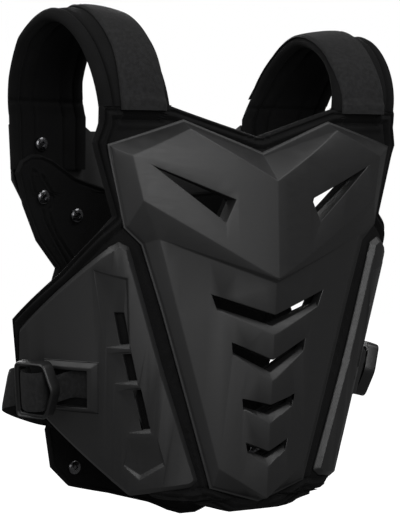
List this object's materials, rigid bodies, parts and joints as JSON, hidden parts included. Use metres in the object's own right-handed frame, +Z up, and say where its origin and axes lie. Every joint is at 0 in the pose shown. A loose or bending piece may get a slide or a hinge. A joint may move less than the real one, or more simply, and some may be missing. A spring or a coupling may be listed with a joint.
{
  "type": "roost deflector",
  "caption": "Padded vest with moulded chest, side and back shells, wide shoulder straps and buckled waist webbing, against flying stones.",
  "frame": {"origin": "between the shoulders, at the height where the straps sit", "axes": "+Z up, the front faces -Y, the wearer's right is -X"},
  "size_m": [0.3924, 0.2357, 0.494],
  "materials": {
    "shell_plastic": "satin moulded",
    "buckle_plastic": "satin moulded",
    "padding": "fine knit over foam",
    "webbing": "woven webbing",
    "screw_steel": "dark polished"
  },
  "bodies": {
    "root": {"front_foam_panel": "padding", "back_foam_panel": "padding", "chest_plate": "shell_plastic", "back_plate": "shell_plastic", "side_plate_right": "shell_plastic", "shoulder_pad_right": "padding", "shoulder_strap_right": "webbing", "buckle_frame_right": "buckle_plastic", "buckle_tab_right": "webbing", "waist_strap_right": "webbing", "back_screw_low_right": "screw_steel", "back_screw_inner_right": "screw_steel", "back_screw_outer_right": "screw_steel", "back_screw_yoke_right": "screw_steel", "side_plate_left": "shell_plastic", "shoulder_pad_left": "padding", "shoulder_strap_left": "webbing", "buckle_frame_left": "buckle_plastic", "buckle_tab_left": "webbing", "waist_strap_left": "webbing", "back_screw_low_left": "screw_steel", "back_screw_inner_left": "screw_steel", "back_screw_outer_left": "screw_steel", "back_screw_yoke_left": "screw_steel"}
  },
  "joints": []
}
